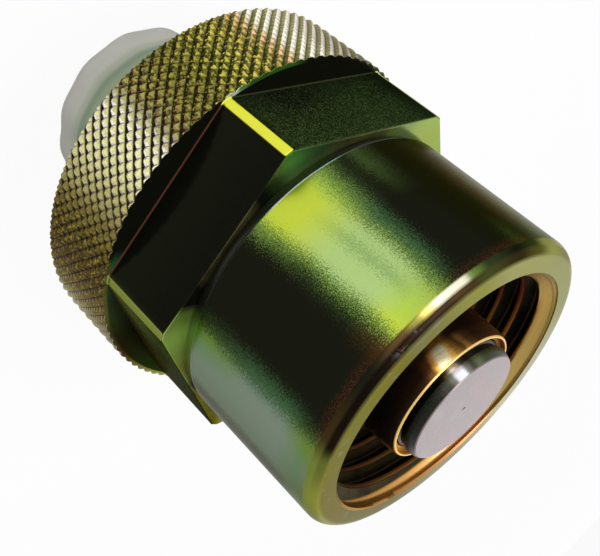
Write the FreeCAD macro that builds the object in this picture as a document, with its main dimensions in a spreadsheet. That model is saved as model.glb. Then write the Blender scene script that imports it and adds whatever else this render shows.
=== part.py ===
import FreeCAD, Part
import os
from Sketcher import Constraint

# Screw-to-connect hydraulic coupling plug, in millimetres.
# It stands on its dust cap: Z runs up the axis, from the cap's flat end at
# Z 0 to the poppet's face, and the hexagon has flats square to X.

doc = FreeCAD.newDocument("coupling_plug")
sheet = doc.addObject("Spreadsheet::Sheet", "Sizes")

# Driving sizes: name, value, what it is
DRIVING = [
    ("cap_wall", 1.05, "dust cap side wall"),
    ("cap_end_wall", 1.9, "dust cap end wall"),
    ("cap_hex_gap", 1.2, "open edge of the cap to the adapter hexagon"),
    ("cap_fit", 0.05, "cap to port thread, on radius"),
    ("cap_end_gap", 0.2, "cap end wall to port end"),
    ("cap_edge_round", 1.2, "rounded corner at the cap end"),
    ("port_thread_dia", 26.0, "tube thread, outside"),
    ("port_thread_length", 10.2, "tube thread up to its undercut"),
    ("port_thread_pitch", 1.5, "tube thread"),
    ("port_depth_share", 0.6134, "tube thread depth, in pitches"),
    ("port_root_share", 0.25, "flat at the bottom of the tube thread, in pitches"),
    ("port_undercut_step", 0.03, "undercut below the thread's bottom, on radius"),
    ("port_undercut_share", 1.0, "undercut behind the tube thread, in pitches"),
    ("port_edge", 0.9, "chamfer at the start of the tube thread"),
    ("tube_dia", 18.0, "tube that the port takes"),
    ("tube_stop_step", 1.55, "step that the tube stops on, on radius"),
    ("tube_fit", 0.05, "tube to its socket, on radius"),
    ("tube_stop_depth", 9.5, "port end to the tube stop"),
    ("cone_depth", 5.0, "sealing cone in the port end"),
    ("cone_angle", 12.0, "sealing cone, axis to wall, in degrees"),
    ("adapter_hold", 4.68, "adapter hexagon flat over the nut flange bore, on radius"),
    ("adapter_hex_length", 5.7, "adapter hexagon"),
    ("adapter_corner_cut", 0.6, "turned-off corners of the adapter hexagon"),
    ("guide_seat", 0.9, "shoulder in the body that the guide sits on, on radius"),
    ("spigot_length", 10.5, "adapter face to the spigot end"),
    ("spigot_wall", 1.4, "spigot wall under the seal groove"),
    ("spigot_fit", 0.02, "spigot and guide to the body, on radius"),
    ("groove_front_wall", 1.4, "spigot end to the seal groove"),
    ("o_ring_section", 1.5, "adapter O-ring"),
    ("backup_width", 1.2, "adapter backup ring"),
    ("ring_side_gap", 0.05, "rings to the groove walls"),
    ("neck_wall", 1.5, "body wall over the spigot"),
    ("nut_float", 0.3, "nut to its neighbours, along the axis"),
    ("nut_fit", 0.3, "nut flange to the body neck, on radius"),
    ("nut_flange_length", 7.2, "rear flange that holds the nut"),
    ("nut_ring_length", 12.9, "knurled ring"),
    ("knurl_over_corner", 0.57, "knurl over the hexagon corners, on radius"),
    ("ring_edge", 0.2, "chamfer at the edges of the knurled ring"),
    ("hex_over_skirt", 0.35, "hexagon flat over the skirt, on radius"),
    ("hex_length", 11.6, "nut hexagon"),
    ("hex_corner_cut", 0.28, "turned-off corners of the nut hexagon"),
    ("step_length", 1.1, "turned step in front of the hexagon"),
    ("step_depth", 0.55, "turned step below the skirt"),
    ("skirt_wall", 3.65, "skirt wall over the thread"),
    ("skirt_length", 23.6, "plain skirt"),
    ("skirt_edge", 0.3, "chamfer at the rear of the skirt"),
    ("rim_round", 1.9, "rounded outer corner of the rim"),
    ("thread_pitch", 3.0, "coupling thread"),
    ("thread_run", 16.0, "coupling thread, rim to relief"),
    ("thread_depth_share", 0.54125, "coupling thread depth, in pitches"),
    ("thread_root_share", 0.125, "flat at the bottom of the coupling thread, in pitches"),
    ("thread_angle", 60.0, "both threads, flank to flank, in degrees"),
    ("cutter_reach", 0.1, "thread cutter past the crests, on radius"),
    ("bar_reach", 1.0, "corner cutter past the hexagon corners, on radius"),
    ("relief_step", 0.3, "relief below the thread's bottom, on radius"),
    ("relief_length", 3.5, "relief behind the thread"),
    ("bore_step", 0.176, "thread crests over the smooth bore, on radius"),
    ("collar_hold", 3.28, "body collar over the nut flange bore, on radius"),
    ("collar_gap", 0.6, "body collar to the nut bore, on radius"),
    ("collar_length", 3.8, "body collar in front of the nut flange"),
    ("collar_edge", 0.5, "chamfer on the body collar"),
    ("barrel_step", 2.2, "barrel over the nose, on radius"),
    ("barrel_edge", 1.2, "chamfer from the barrel to the nose"),
    ("nose_length", 9.2, "nose tube, mouth to barrel"),
    ("nose_wall", 0.7, "nose tube wall"),
    ("nose_edge", 0.3, "chamfer at the nose mouth"),
    ("nose_stand_out", 0.1, "nose mouth in front of the rim"),
    ("mouth_wall", 0.6, "thin ring round the mouth"),
    ("mouth_depth", 0.8, "counterbore in the mouth"),
    ("lip_length", 0.8, "lip that the poppet closes on"),
    ("seat_width", 0.62, "sealing cone from the lip to the nose bore, on radius"),
    ("chamber_wall", 1.6, "barrel wall round the spring chamber"),
    ("poppet_dia", 17.2, "poppet face"),
    ("poppet_fit", 0.08, "poppet to the lip, on radius"),
    ("poppet_stand_out", 2.1, "poppet face in front of the rim"),
    ("poppet_edge", 0.25, "chamfer round the poppet face"),
    ("poppet_side_gap", 0.3, "poppet shoulder to the nose bore, on radius"),
    ("seat_gap", 0.1, "poppet shoulder behind the lip"),
    ("shoulder_length", 0.6, "poppet shoulder in front of the seal"),
    ("seal_section", 1.7, "poppet seal"),
    ("seal_end_gap", 0.1, "poppet seal to the groove walls"),
    ("seal_side_gap", 0.05, "poppet seal to the nose bore"),
    ("poppet_back_length", 1.2, "poppet behind the seal groove"),
    ("pip_dia", 0.9, "centre mark on the poppet face"),
    ("pip_depth", 0.4, "centre mark on the poppet face"),
    ("stem_dia", 6.0, "poppet stem"),
    ("stem_fit", 0.05, "stem to the guide, on radius"),
    ("stem_tail", 4.0, "stem behind the guide hub"),
    ("stem_edge", 0.5, "chamfer at the stem end"),
    ("guide_plate_length", 3.0, "guide plate"),
    ("hub_wall", 1.45, "guide hub wall round the stem"),
    ("guide_hub_front", 3.0, "hub in front of the plate"),
    ("guide_hub_rear", 2.5, "hub behind the plate"),
    ("guide_hole_edge", 0.15, "flow holes to the hub and to the spigot bore"),
    ("guide_holes", 6, "number of flow holes"),
    ("spring_wire", 1.6, "spring wire"),
    ("spring_hub_gap", 0.9, "spring to the guide hub, on radius"),
    ("spring_turns", 6.5, "spring"),
    ("spring_seat_gap", 0.05, "spring to its seats"),
]

# Worked-out places: Z of each station from the cap end up, then radii
WORKED_OUT = [
    ("base_z", "0"),
    ("cap_floor_z", "cap_end_wall"),
    ("port_z", "cap_end_wall + cap_end_gap"),
    ("undercut_z", "port_z + port_thread_length"),
    ("adapter_rear_z", "undercut_z + port_undercut_share * port_thread_pitch"),
    ("cap_open_z", "adapter_rear_z - cap_hex_gap"),
    ("adapter_face_z", "adapter_rear_z + adapter_hex_length"),
    ("bore_step_z", "adapter_face_z - (spigot_bore_r - port_bore_r)"),
    ("spigot_z", "adapter_face_z + spigot_length"),
    ("groove_front_z", "spigot_z - groove_front_wall"),
    ("groove_rear_z", "groove_front_z - o_ring_section - backup_width - 3 * ring_side_gap"),
    ("backup_rear_z", "groove_rear_z + ring_side_gap"),
    ("backup_front_z", "backup_rear_z + backup_width"),
    ("o_ring_z", "groove_front_z - ring_side_gap - o_ring_section / 2"),
    ("nut_rear_z", "adapter_face_z + nut_float"),
    ("flange_front_z", "nut_rear_z + nut_flange_length"),
    ("ring_front_z", "nut_rear_z + nut_ring_length"),
    ("hex_front_z", "ring_front_z + hex_length"),
    ("skirt_rear_z", "hex_front_z + step_length"),
    ("rim_z", "skirt_rear_z + skirt_length"),
    ("lead_in_z", "rim_z - (thread_r - thread_minor_r)"),
    ("relief_front_z", "rim_z - thread_run"),
    ("relief_rear_z", "relief_front_z - relief_length"),
    ("collar_rear_z", "flange_front_z + nut_float"),
    ("collar_front_z", "collar_rear_z + collar_length"),
    ("mouth_z", "rim_z + nose_stand_out"),
    ("nose_rear_z", "mouth_z - nose_length"),
    ("mouth_floor_z", "mouth_z - mouth_depth"),
    ("lip_rear_z", "mouth_floor_z - lip_length"),
    ("seat_rear_z", "lip_rear_z - (nose_bore_r - lip_r)"),
    ("chamber_front_z", "nose_rear_z - (chamber_r - nose_bore_r)"),
    ("guide_front_z", "spigot_z + guide_plate_length"),
    ("hub_front_z", "guide_front_z + guide_hub_front"),
    ("hub_rear_z", "spigot_z - guide_hub_rear"),
    ("face_z", "rim_z + poppet_stand_out"),
    ("shoulder_z", "lip_rear_z - seat_gap"),
    ("shoulder_low_z", "shoulder_z - (shoulder_r - poppet_r)"),
    ("pip_z", "face_z - pip_depth"),
    ("seal_front_z", "shoulder_low_z - shoulder_length"),
    ("seal_rear_z", "seal_front_z - seal_section - 2 * seal_end_gap"),
    ("seal_z", "(seal_front_z + seal_rear_z) / 2"),
    ("head_rear_z", "seal_rear_z - poppet_back_length"),
    ("stem_end_z", "hub_rear_z - stem_tail"),
    ("spring_low_z", "guide_front_z + spring_seat_gap + spring_wire / 2"),
    ("spring_height", "head_rear_z - guide_front_z - 2 * spring_seat_gap - spring_wire"),
    ("cone_z", "port_z + cone_depth"),
    ("tube_stop_z", "port_z + tube_stop_depth"),
    ("tube_r", "tube_dia / 2 + tube_fit"),
    ("cone_r", "tube_r + cone_depth * tan(cone_angle)"),
    ("port_bore_r", "tube_r - tube_stop_step"),
    ("port_thread_r", "port_thread_dia / 2"),
    ("port_corner_edge", "min(port_edge; (port_thread_r - cone_r) / 2)"),
    ("port_root_r", "port_thread_r - port_depth_share * port_thread_pitch"),
    ("undercut_r", "port_root_r - port_undercut_step"),
    ("cap_inner_r", "port_thread_r + cap_fit"),
    ("cap_outer_r", "cap_inner_r + cap_wall"),
    ("poppet_r", "poppet_dia / 2"),
    ("pip_r", "pip_dia / 2"),
    ("lip_r", "poppet_r + poppet_fit"),
    ("nose_bore_r", "lip_r + seat_width"),
    ("nose_r", "nose_bore_r + nose_wall"),
    ("mouth_r", "nose_r - mouth_wall"),
    ("barrel_r", "nose_r + barrel_step"),
    ("chamber_r", "barrel_r - chamber_wall"),
    ("shoulder_r", "nose_bore_r - poppet_side_gap"),
    ("seal_r", "nose_bore_r - seal_side_gap - seal_section / 2"),
    ("seal_groove_r", "seal_r - seal_section / 2"),
    ("stem_r", "stem_dia / 2"),
    ("hub_bore_r", "stem_r + stem_fit"),
    ("hub_r", "hub_bore_r + hub_wall"),
    ("spring_r", "hub_r + spring_hub_gap + spring_wire / 2"),
    ("spigot_r", "chamber_r + guide_seat"),
    ("socket_r", "spigot_r + spigot_fit"),
    ("groove_r", "spigot_r - o_ring_section"),
    ("o_ring_r", "(groove_r + socket_r) / 2"),
    ("backup_inner_r", "groove_r + ring_side_gap"),
    ("spigot_bore_r", "groove_r - spigot_wall"),
    ("guide_hole_circle_r", "(hub_r + spigot_bore_r) / 2"),
    ("guide_hole_r", "(spigot_bore_r - hub_r) / 2 - guide_hole_edge"),
    ("neck_r", "socket_r + neck_wall"),
    ("flange_r", "neck_r + nut_fit"),
    ("adapter_flats", "2 * (flange_r + adapter_hold)"),
    ("adapter_corner_r", "adapter_flats / sqrt(3) - adapter_corner_cut"),
    ("adapter_outer_r", "adapter_flats / sqrt(3) + bar_reach"),
    ("collar_r", "flange_r + collar_hold"),
    ("nut_bore_r", "collar_r + collar_gap"),
    ("thread_minor_r", "nut_bore_r + bore_step"),
    ("thread_r", "thread_minor_r + thread_depth_share * thread_pitch"),
    ("relief_r", "thread_r + relief_step"),
    ("skirt_r", "thread_r + skirt_wall"),
    ("step_r", "skirt_r - step_depth"),
    ("hex_flats", "2 * (skirt_r + hex_over_skirt)"),
    ("hex_corner_r", "hex_flats / sqrt(3) - hex_corner_cut"),
    ("hex_outer_r", "hex_flats / sqrt(3) + bar_reach"),
    ("knurl_r", "hex_corner_r + knurl_over_corner"),
]

# Thread cutters: a flat bottom and straight flanks, wound from clear space to clear space
CUTTERS = [
    ("nut_cut_start_z", "relief_front_z - thread_pitch / 2"),
    ("nut_cut_height", "thread_run + 1.5 * thread_pitch"),
    ("nut_cut_open_r", "thread_minor_r - cutter_reach"),
    ("nut_cut_root_half", "thread_root_share * thread_pitch / 2"),
    ("nut_cut_open_half", "nut_cut_root_half + (thread_r - nut_cut_open_r) * tan(thread_angle / 2)"),
    ("nut_cut_root_low_z", "nut_cut_start_z - nut_cut_root_half"),
    ("nut_cut_root_high_z", "nut_cut_start_z + nut_cut_root_half"),
    ("nut_cut_open_low_z", "nut_cut_start_z - nut_cut_open_half"),
    ("nut_cut_open_high_z", "nut_cut_start_z + nut_cut_open_half"),
    ("port_cut_start_z", "port_z - port_thread_pitch"),
    ("port_cut_height", "port_thread_length + 1.5 * port_thread_pitch"),
    ("port_cut_open_r", "port_thread_r + cutter_reach"),
    ("port_cut_root_half", "port_root_share * port_thread_pitch / 2"),
    ("port_cut_open_half", "port_cut_root_half + (port_cut_open_r - port_root_r) * tan(thread_angle / 2)"),
    ("port_cut_root_low_z", "port_cut_start_z - port_cut_root_half"),
    ("port_cut_root_high_z", "port_cut_start_z + port_cut_root_half"),
    ("port_cut_open_low_z", "port_cut_start_z - port_cut_open_half"),
    ("port_cut_open_high_z", "port_cut_start_z + port_cut_open_half"),
]


def fill_sheet():
    """Write every size and every formula into the sheet."""
    row = 1
    for name, value, meaning in DRIVING:
        sheet.set(f"A{row}", name)
        sheet.set(f"B{row}", str(value))
        sheet.set(f"C{row}", meaning)
        sheet.setAlias(f"B{row}", name)
        row += 1
    first_formula = row
    formulas = WORKED_OUT + CUTTERS
    for name, formula in formulas:
        sheet.set(f"A{row}", name)
        sheet.setAlias(f"B{row}", name)
        row += 1
    for offset, (name, formula) in enumerate(formulas):
        sheet.set(f"B{first_formula + offset}", "=" + formula)
    doc.recompute()


def size(name):
    """Present value of a named size."""
    return float(sheet.get(name))


def new_body(name):
    """Body of one sub-part, named after its node."""
    body = doc.addObject("PartDesign::Body", name)
    body.Label = name
    body.Placement = FreeCAD.Placement()
    return body


def origin_feature(body, role):
    """One of the body's own origin planes or axes."""
    for feature in body.Origin.OriginFeatures:
        if feature.Role == role:
            return feature


def new_sketch(body, name, role="XZ_Plane"):
    """Empty sketch on one of the body's origin planes."""
    sketch = body.newObject("Sketcher::SketchObject", name)
    sketch.AttachmentSupport = (origin_feature(body, role), "")
    sketch.MapMode = "FlatFace"
    return sketch


def bind(sketch, constraint, formula):
    """Add a constraint whose value comes from the sheet."""
    index = sketch.addConstraint(constraint)
    sketch.setExpression(f"Constraints[{index}]", formula)


def draw_outline(sketch, points):
    """Closed outline through (radius, Z) pairs of size names; None is the axis."""
    places = []
    for across, up in points:
        x = 0.0 if across is None else size(across)
        places.append(FreeCAD.Vector(x, size(up), 0))
    count = len(points)
    for index in range(count):
        sketch.addGeometry(Part.LineSegment(places[index], places[(index + 1) % count]))
    for index in range(count):
        sketch.addConstraint(Constraint("Coincident", index, 2, (index + 1) % count, 1))
    for index, (across, up) in enumerate(points):
        if across is None:
            sketch.addConstraint(Constraint("PointOnObject", index, 1, -2))
        else:
            bind(sketch, Constraint("DistanceX", -1, 1, index, 1, size(across)), f"Sizes.{across}")
        bind(sketch, Constraint("DistanceY", -1, 1, index, 1, size(up)), f"Sizes.{up}")


def revolve(body, name, sketch):
    """Turn an outline once round the axis."""
    feature = body.newObject("PartDesign::Revolution", name)
    feature.Profile = sketch
    feature.ReferenceAxis = (sketch, ["V_Axis"])
    feature.Angle = 360
    doc.recompute()
    return feature


def turned(name, points):
    """Body of a turned piece with one outline."""
    body = new_body(name)
    sketch = new_sketch(body, name + "_outline")
    draw_outline(sketch, points)
    doc.recompute()
    revolve(body, name + "_turned", sketch)
    return body


def circle_edges(feature, radius, height):
    """Names of the full circles of a feature at one radius and height."""
    names = []
    for number, edge in enumerate(feature.Shape.Edges, start=1):
        curve = edge.Curve
        if not isinstance(curve, Part.Circle):
            continue
        same_radius = abs(curve.Radius - radius) < 0.01
        same_height = abs(curve.Center.z - height) < 0.01
        if same_radius and same_height:
            names.append(f"Edge{number}")
    return names


def chamfer(body, name, places, width):
    """Chamfer the circles at (radius, Z) places of the body's last feature."""
    base = body.Tip
    edges = []
    for radius, up in places:
        edges += circle_edges(base, size(radius), size(up))
    feature = body.newObject("PartDesign::Chamfer", name)
    feature.Base = (base, edges)
    feature.Size = size(width)
    feature.setExpression("Size", f"Sizes.{width}")
    doc.recompute()
    return feature


def fillet(body, name, places, radius_name):
    """Round the circles at (radius, Z) places of the body's last feature."""
    base = body.Tip
    edges = []
    for radius, up in places:
        edges += circle_edges(base, size(radius), size(up))
    feature = body.newObject("PartDesign::Fillet", name)
    feature.Base = (base, edges)
    feature.Radius = size(radius_name)
    feature.setExpression("Radius", f"Sizes.{radius_name}")
    doc.recompute()
    return feature


def add_hexagon(body, name, flats, inner_radius, rear, length):
    """Hexagonal collar with a round hole, its flats square to X."""
    sketch = new_sketch(body, name + "_outline", "XY_Plane")
    sketch.setExpression(".AttachmentOffset.Base.z", f"Sizes.{rear}")
    corner = size(flats) / 3 ** 0.5
    places = []
    for index in range(6):
        turn = FreeCAD.Rotation(FreeCAD.Vector(0, 0, 1), 30 + 60 * index)
        places.append(turn.multVec(FreeCAD.Vector(corner, 0, 0)))
    for index in range(6):
        sketch.addGeometry(Part.LineSegment(places[index], places[(index + 1) % 6]))
    guide = sketch.addGeometry(Part.Circle(FreeCAD.Vector(), FreeCAD.Vector(0, 0, 1), corner), True)
    hole = sketch.addGeometry(Part.Circle(FreeCAD.Vector(), FreeCAD.Vector(0, 0, 1), size(inner_radius)))
    for index in range(6):
        sketch.addConstraint(Constraint("Coincident", index, 2, (index + 1) % 6, 1))
        sketch.addConstraint(Constraint("PointOnObject", index, 1, guide))
    for index in range(5):
        sketch.addConstraint(Constraint("Equal", index, index + 1))
    for circle in (guide, hole):
        sketch.addConstraint(Constraint("Coincident", circle, 3, -1, 1))
    sketch.addConstraint(Constraint("Vertical", 5))
    bind(sketch, Constraint("Diameter", guide, 2 * corner), f"Sizes.{flats} / cos(30)")
    bind(sketch, Constraint("Radius", hole, size(inner_radius)), f"Sizes.{inner_radius}")
    pad = body.newObject("PartDesign::Pad", name)
    pad.Profile = sketch
    pad.Length = size(length)
    pad.setExpression("Length", f"Sizes.{length}")
    doc.recompute()
    return pad


def turn_corners(body, name, corner_radius, outer_radius, rear, front):
    """Turn a hexagon's corners down to a round of the given radius."""
    sketch = new_sketch(body, name + "_outline")
    draw_outline(sketch, [
        (corner_radius, rear),
        (outer_radius, rear),
        (outer_radius, front),
        (corner_radius, front),
    ])
    groove = body.newObject("PartDesign::Groove", name)
    groove.Profile = sketch
    groove.ReferenceAxis = (sketch, ["V_Axis"])
    groove.Angle = 360
    doc.recompute()
    return groove


def cut_thread(body, name, cutter, root_radius, pitch):
    """Right-hand thread: a groove wound up the axis from the cutter's start."""
    sketch = new_sketch(body, name + "_profile")
    draw_outline(sketch, [
        (root_radius, cutter + "_root_low_z"),
        (root_radius, cutter + "_root_high_z"),
        (cutter + "_open_r", cutter + "_open_high_z"),
        (cutter + "_open_r", cutter + "_open_low_z"),
    ])
    doc.recompute()
    groove = body.newObject("PartDesign::SubtractiveHelix", name)
    groove.Profile = sketch
    groove.ReferenceAxis = (sketch, ["V_Axis"])
    groove.Mode = "pitch-height-angle"
    groove.setExpression("Pitch", f"Sizes.{pitch}")
    groove.setExpression("Height", f"Sizes.{cutter}_height")
    doc.recompute()
    return groove


def rubber_ring(name, ring_radius, section, up):
    """Round rubber ring lying square to the axis."""
    ring = doc.addObject("Part::Torus", name)
    ring.Label = name
    ring.setExpression("Radius1", f"Sizes.{ring_radius}")
    ring.setExpression("Radius2", f"Sizes.{section} / 2")
    ring.setExpression("Placement.Base.z", f"Sizes.{up}")
    doc.recompute()
    return ring


def make_union_nut():
    """Steel union nut turned from hexagon bar: knurled ring, hexagon, skirt."""
    body = turned("union_nut", [
        ("flange_r", "nut_rear_z"),
        ("knurl_r", "nut_rear_z"),
        ("knurl_r", "ring_front_z"),
        ("step_r", "ring_front_z"),
        ("step_r", "skirt_rear_z"),
        ("skirt_r", "skirt_rear_z"),
        ("skirt_r", "rim_z"),
        ("thread_r", "rim_z"),
        ("thread_minor_r", "lead_in_z"),
        ("thread_minor_r", "relief_front_z"),
        ("relief_r", "relief_front_z"),
        ("relief_r", "relief_rear_z"),
        ("nut_bore_r", "relief_rear_z"),
        ("nut_bore_r", "flange_front_z"),
        ("flange_r", "flange_front_z"),
    ])
    fillet(body, "rim_corner", [("skirt_r", "rim_z")], "rim_round")
    chamfer(body, "skirt_corner", [("skirt_r", "skirt_rear_z")], "skirt_edge")
    chamfer(body, "ring_corners", [("knurl_r", "nut_rear_z"), ("knurl_r", "ring_front_z")], "ring_edge")
    add_hexagon(body, "nut_hexagon", "hex_flats", "relief_r", "ring_front_z", "hex_length")
    turn_corners(body, "nut_corners", "hex_corner_r", "hex_outer_r", "ring_front_z", "hex_front_z")
    cut_thread(body, "coupling_thread", "nut_cut", "thread_r", "thread_pitch")
    return body


def make_plug_body():
    """Steel body: neck and collar that carry the nut, barrel and nose tube."""
    body = turned("plug_body", [
        ("socket_r", "adapter_face_z"),
        ("neck_r", "adapter_face_z"),
        ("neck_r", "collar_rear_z"),
        ("collar_r", "collar_rear_z"),
        ("collar_r", "collar_front_z"),
        ("barrel_r", "collar_front_z"),
        ("barrel_r", "nose_rear_z"),
        ("nose_r", "nose_rear_z"),
        ("nose_r", "mouth_z"),
        ("mouth_r", "mouth_z"),
        ("mouth_r", "mouth_floor_z"),
        ("lip_r", "mouth_floor_z"),
        ("lip_r", "lip_rear_z"),
        ("nose_bore_r", "seat_rear_z"),
        ("nose_bore_r", "nose_rear_z"),
        ("chamber_r", "chamber_front_z"),
        ("chamber_r", "guide_front_z"),
        ("socket_r", "guide_front_z"),
    ])
    chamfer(body, "nose_corner", [("nose_r", "mouth_z")], "nose_edge")
    chamfer(body, "barrel_corner", [("barrel_r", "nose_rear_z")], "barrel_edge")
    chamfer(body, "collar_corner", [("collar_r", "collar_front_z")], "collar_edge")
    return body


def make_port_adapter():
    """Steel adapter screwed into the body: spigot, hexagon and tube thread."""
    body = turned("port_adapter", [
        ("tube_r", "tube_stop_z"),
        ("tube_r", "cone_z"),
        ("cone_r", "port_z"),
        ("port_thread_r", "port_z"),
        ("port_thread_r", "undercut_z"),
        ("undercut_r", "undercut_z"),
        ("undercut_r", "adapter_face_z"),
        ("spigot_r", "adapter_face_z"),
        ("spigot_r", "groove_rear_z"),
        ("groove_r", "groove_rear_z"),
        ("groove_r", "groove_front_z"),
        ("spigot_r", "groove_front_z"),
        ("spigot_r", "spigot_z"),
        ("spigot_bore_r", "spigot_z"),
        ("spigot_bore_r", "adapter_face_z"),
        ("port_bore_r", "bore_step_z"),
        ("port_bore_r", "tube_stop_z"),
    ])
    chamfer(body, "port_corner", [("port_thread_r", "port_z")], "port_corner_edge")
    add_hexagon(body, "adapter_hexagon", "adapter_flats", "groove_r", "adapter_rear_z", "adapter_hex_length")
    turn_corners(body, "adapter_corners", "adapter_corner_r", "adapter_outer_r",
                 "adapter_rear_z", "adapter_face_z")
    cut_thread(body, "tube_thread", "port_cut", "port_root_r", "port_thread_pitch")
    return body


def make_poppet():
    """Steel valve poppet: flat head with a centre mark, seal groove and stem."""
    body = turned("poppet", [
        (None, "pip_z"),
        ("pip_r", "face_z"),
        ("poppet_r", "face_z"),
        ("poppet_r", "shoulder_z"),
        ("shoulder_r", "shoulder_low_z"),
        ("shoulder_r", "seal_front_z"),
        ("seal_groove_r", "seal_front_z"),
        ("seal_groove_r", "seal_rear_z"),
        ("shoulder_r", "seal_rear_z"),
        ("shoulder_r", "head_rear_z"),
        ("stem_r", "head_rear_z"),
        ("stem_r", "stem_end_z"),
        (None, "stem_end_z"),
    ])
    chamfer(body, "poppet_corner", [("poppet_r", "face_z")], "poppet_edge")
    chamfer(body, "stem_corner", [("stem_r", "stem_end_z")], "stem_edge")
    return body


def make_poppet_guide():
    """Steel spider: hub for the stem and a plate with flow holes, clamped by the spigot."""
    body = turned("poppet_guide", [
        ("hub_bore_r", "hub_rear_z"),
        ("hub_r", "hub_rear_z"),
        ("hub_r", "spigot_z"),
        ("spigot_r", "spigot_z"),
        ("spigot_r", "guide_front_z"),
        ("hub_r", "guide_front_z"),
        ("hub_r", "hub_front_z"),
        ("hub_bore_r", "hub_front_z"),
    ])
    sketch = new_sketch(body, "flow_hole_outline", "XY_Plane")
    sketch.setExpression(".AttachmentOffset.Base.z", "Sizes.guide_front_z")
    centre = FreeCAD.Vector(size("guide_hole_circle_r"), 0, 0)
    hole_radius = size("guide_hole_r")
    sketch.addGeometry(Part.Circle(centre, FreeCAD.Vector(0, 0, 1), hole_radius))
    sketch.addConstraint(Constraint("PointOnObject", 0, 3, -1))
    bind(sketch, Constraint("DistanceX", -1, 1, 0, 3, centre.x), "Sizes.guide_hole_circle_r")
    bind(sketch, Constraint("Radius", 0, hole_radius), "Sizes.guide_hole_r")
    pocket = body.newObject("PartDesign::Pocket", "flow_hole")
    pocket.Profile = sketch
    pocket.setExpression("Length", "Sizes.guide_plate_length")
    doc.recompute()
    pattern = body.newObject("PartDesign::PolarPattern", "flow_holes")
    pattern.Originals = [pocket]
    pattern.Axis = (origin_feature(body, "Z_Axis"), [""])
    pattern.Angle = 360
    pattern.Occurrences = round(size("guide_holes"))
    pattern.setExpression("Occurrences", "Sizes.guide_holes")
    body.Tip = pattern
    doc.recompute()
    return body


def make_poppet_spring():
    """Steel spring between the guide plate and the back of the poppet's head."""
    body = new_body("poppet_spring")
    sketch = new_sketch(body, "wire_outline")
    centre = FreeCAD.Vector(size("spring_r"), size("spring_low_z"), 0)
    wire_radius = size("spring_wire") / 2
    sketch.addGeometry(Part.Circle(centre, FreeCAD.Vector(0, 0, 1), wire_radius))
    bind(sketch, Constraint("DistanceX", -1, 1, 0, 3, centre.x), "Sizes.spring_r")
    bind(sketch, Constraint("DistanceY", -1, 1, 0, 3, centre.y), "Sizes.spring_low_z")
    bind(sketch, Constraint("Radius", 0, wire_radius), "Sizes.spring_wire / 2")
    doc.recompute()
    coil = body.newObject("PartDesign::AdditiveHelix", "coil")
    coil.Profile = sketch
    coil.ReferenceAxis = (sketch, ["V_Axis"])
    coil.Mode = "height-turns-angle"
    coil.setExpression("Height", "Sizes.spring_height")
    coil.setExpression("Turns", "Sizes.spring_turns")
    doc.recompute()
    return body


def make_adapter_backup_ring():
    """Plastic ring that backs the adapter's O-ring."""
    return turned("adapter_backup_ring", [
        ("backup_inner_r", "backup_rear_z"),
        ("spigot_r", "backup_rear_z"),
        ("spigot_r", "backup_front_z"),
        ("backup_inner_r", "backup_front_z"),
    ])


def make_dust_cap():
    """Moulded polyethylene cap pushed over the tube thread."""
    body = turned("dust_cap", [
        (None, "base_z"),
        ("cap_outer_r", "base_z"),
        ("cap_outer_r", "cap_open_z"),
        ("cap_inner_r", "cap_open_z"),
        ("cap_inner_r", "cap_floor_z"),
        (None, "cap_floor_z"),
    ])
    fillet(body, "cap_corner", [("cap_outer_r", "base_z")], "cap_edge_round")
    return body


def check_document():
    """Stop when an object failed."""
    for item in doc.Objects:
        for state in item.State:
            if state in ("Invalid", "Error"):
                raise RuntimeError(f"{item.Name}: {item.State}")


def export(node):
    """Check one finished sub-part and write its STEP file."""
    shape = node.Shape
    if shape.isNull() or not shape.isValid():
        raise RuntimeError(f"{node.Label} has no valid shape")
    box = shape.BoundBox
    print(f"{node.Label}: volume {shape.Volume:.1f}, Z {box.ZMin:.2f} to {box.ZMax:.2f}, "
          f"width {box.XLength:.2f}, solids {len(shape.Solids)}")
    shape.exportStep(f"parts/{node.Label}.step")


fill_sheet()
nodes = [
    make_union_nut(),
    make_plug_body(),
    make_port_adapter(),
    make_poppet(),
    rubber_ring("poppet_seal", "seal_r", "seal_section", "seal_z"),
    make_poppet_guide(),
    make_poppet_spring(),
    rubber_ring("adapter_o_ring", "o_ring_r", "o_ring_section", "o_ring_z"),
    make_adapter_backup_ring(),
    make_dust_cap(),
]
check_document()
os.makedirs("parts", exist_ok=True)
for node in nodes:
    export(node)
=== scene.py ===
import bpy
import bmesh
from math import acos, atan2, cos, degrees, hypot, pi, radians, sin, sqrt
from mathutils import Matrix, Vector


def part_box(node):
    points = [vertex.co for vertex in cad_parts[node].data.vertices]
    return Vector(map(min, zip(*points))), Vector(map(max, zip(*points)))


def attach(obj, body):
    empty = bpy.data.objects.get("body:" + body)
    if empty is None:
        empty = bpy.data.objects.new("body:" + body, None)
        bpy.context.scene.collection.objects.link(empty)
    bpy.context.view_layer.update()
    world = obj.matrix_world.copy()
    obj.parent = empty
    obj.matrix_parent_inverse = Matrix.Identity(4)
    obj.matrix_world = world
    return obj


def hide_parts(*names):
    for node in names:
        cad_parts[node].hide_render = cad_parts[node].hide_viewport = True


# A screw-to-connect hydraulic coupling plug, standing on its dust cap.
# Metres throughout; Z runs up the axis from the cap's end to the poppet's face.

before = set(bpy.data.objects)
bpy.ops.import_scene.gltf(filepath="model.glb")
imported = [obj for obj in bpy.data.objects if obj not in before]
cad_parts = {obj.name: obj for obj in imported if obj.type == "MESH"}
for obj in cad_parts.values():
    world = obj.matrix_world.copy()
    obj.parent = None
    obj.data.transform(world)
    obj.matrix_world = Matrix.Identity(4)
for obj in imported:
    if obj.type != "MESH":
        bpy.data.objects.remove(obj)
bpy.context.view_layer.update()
mm = 0.001

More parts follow.
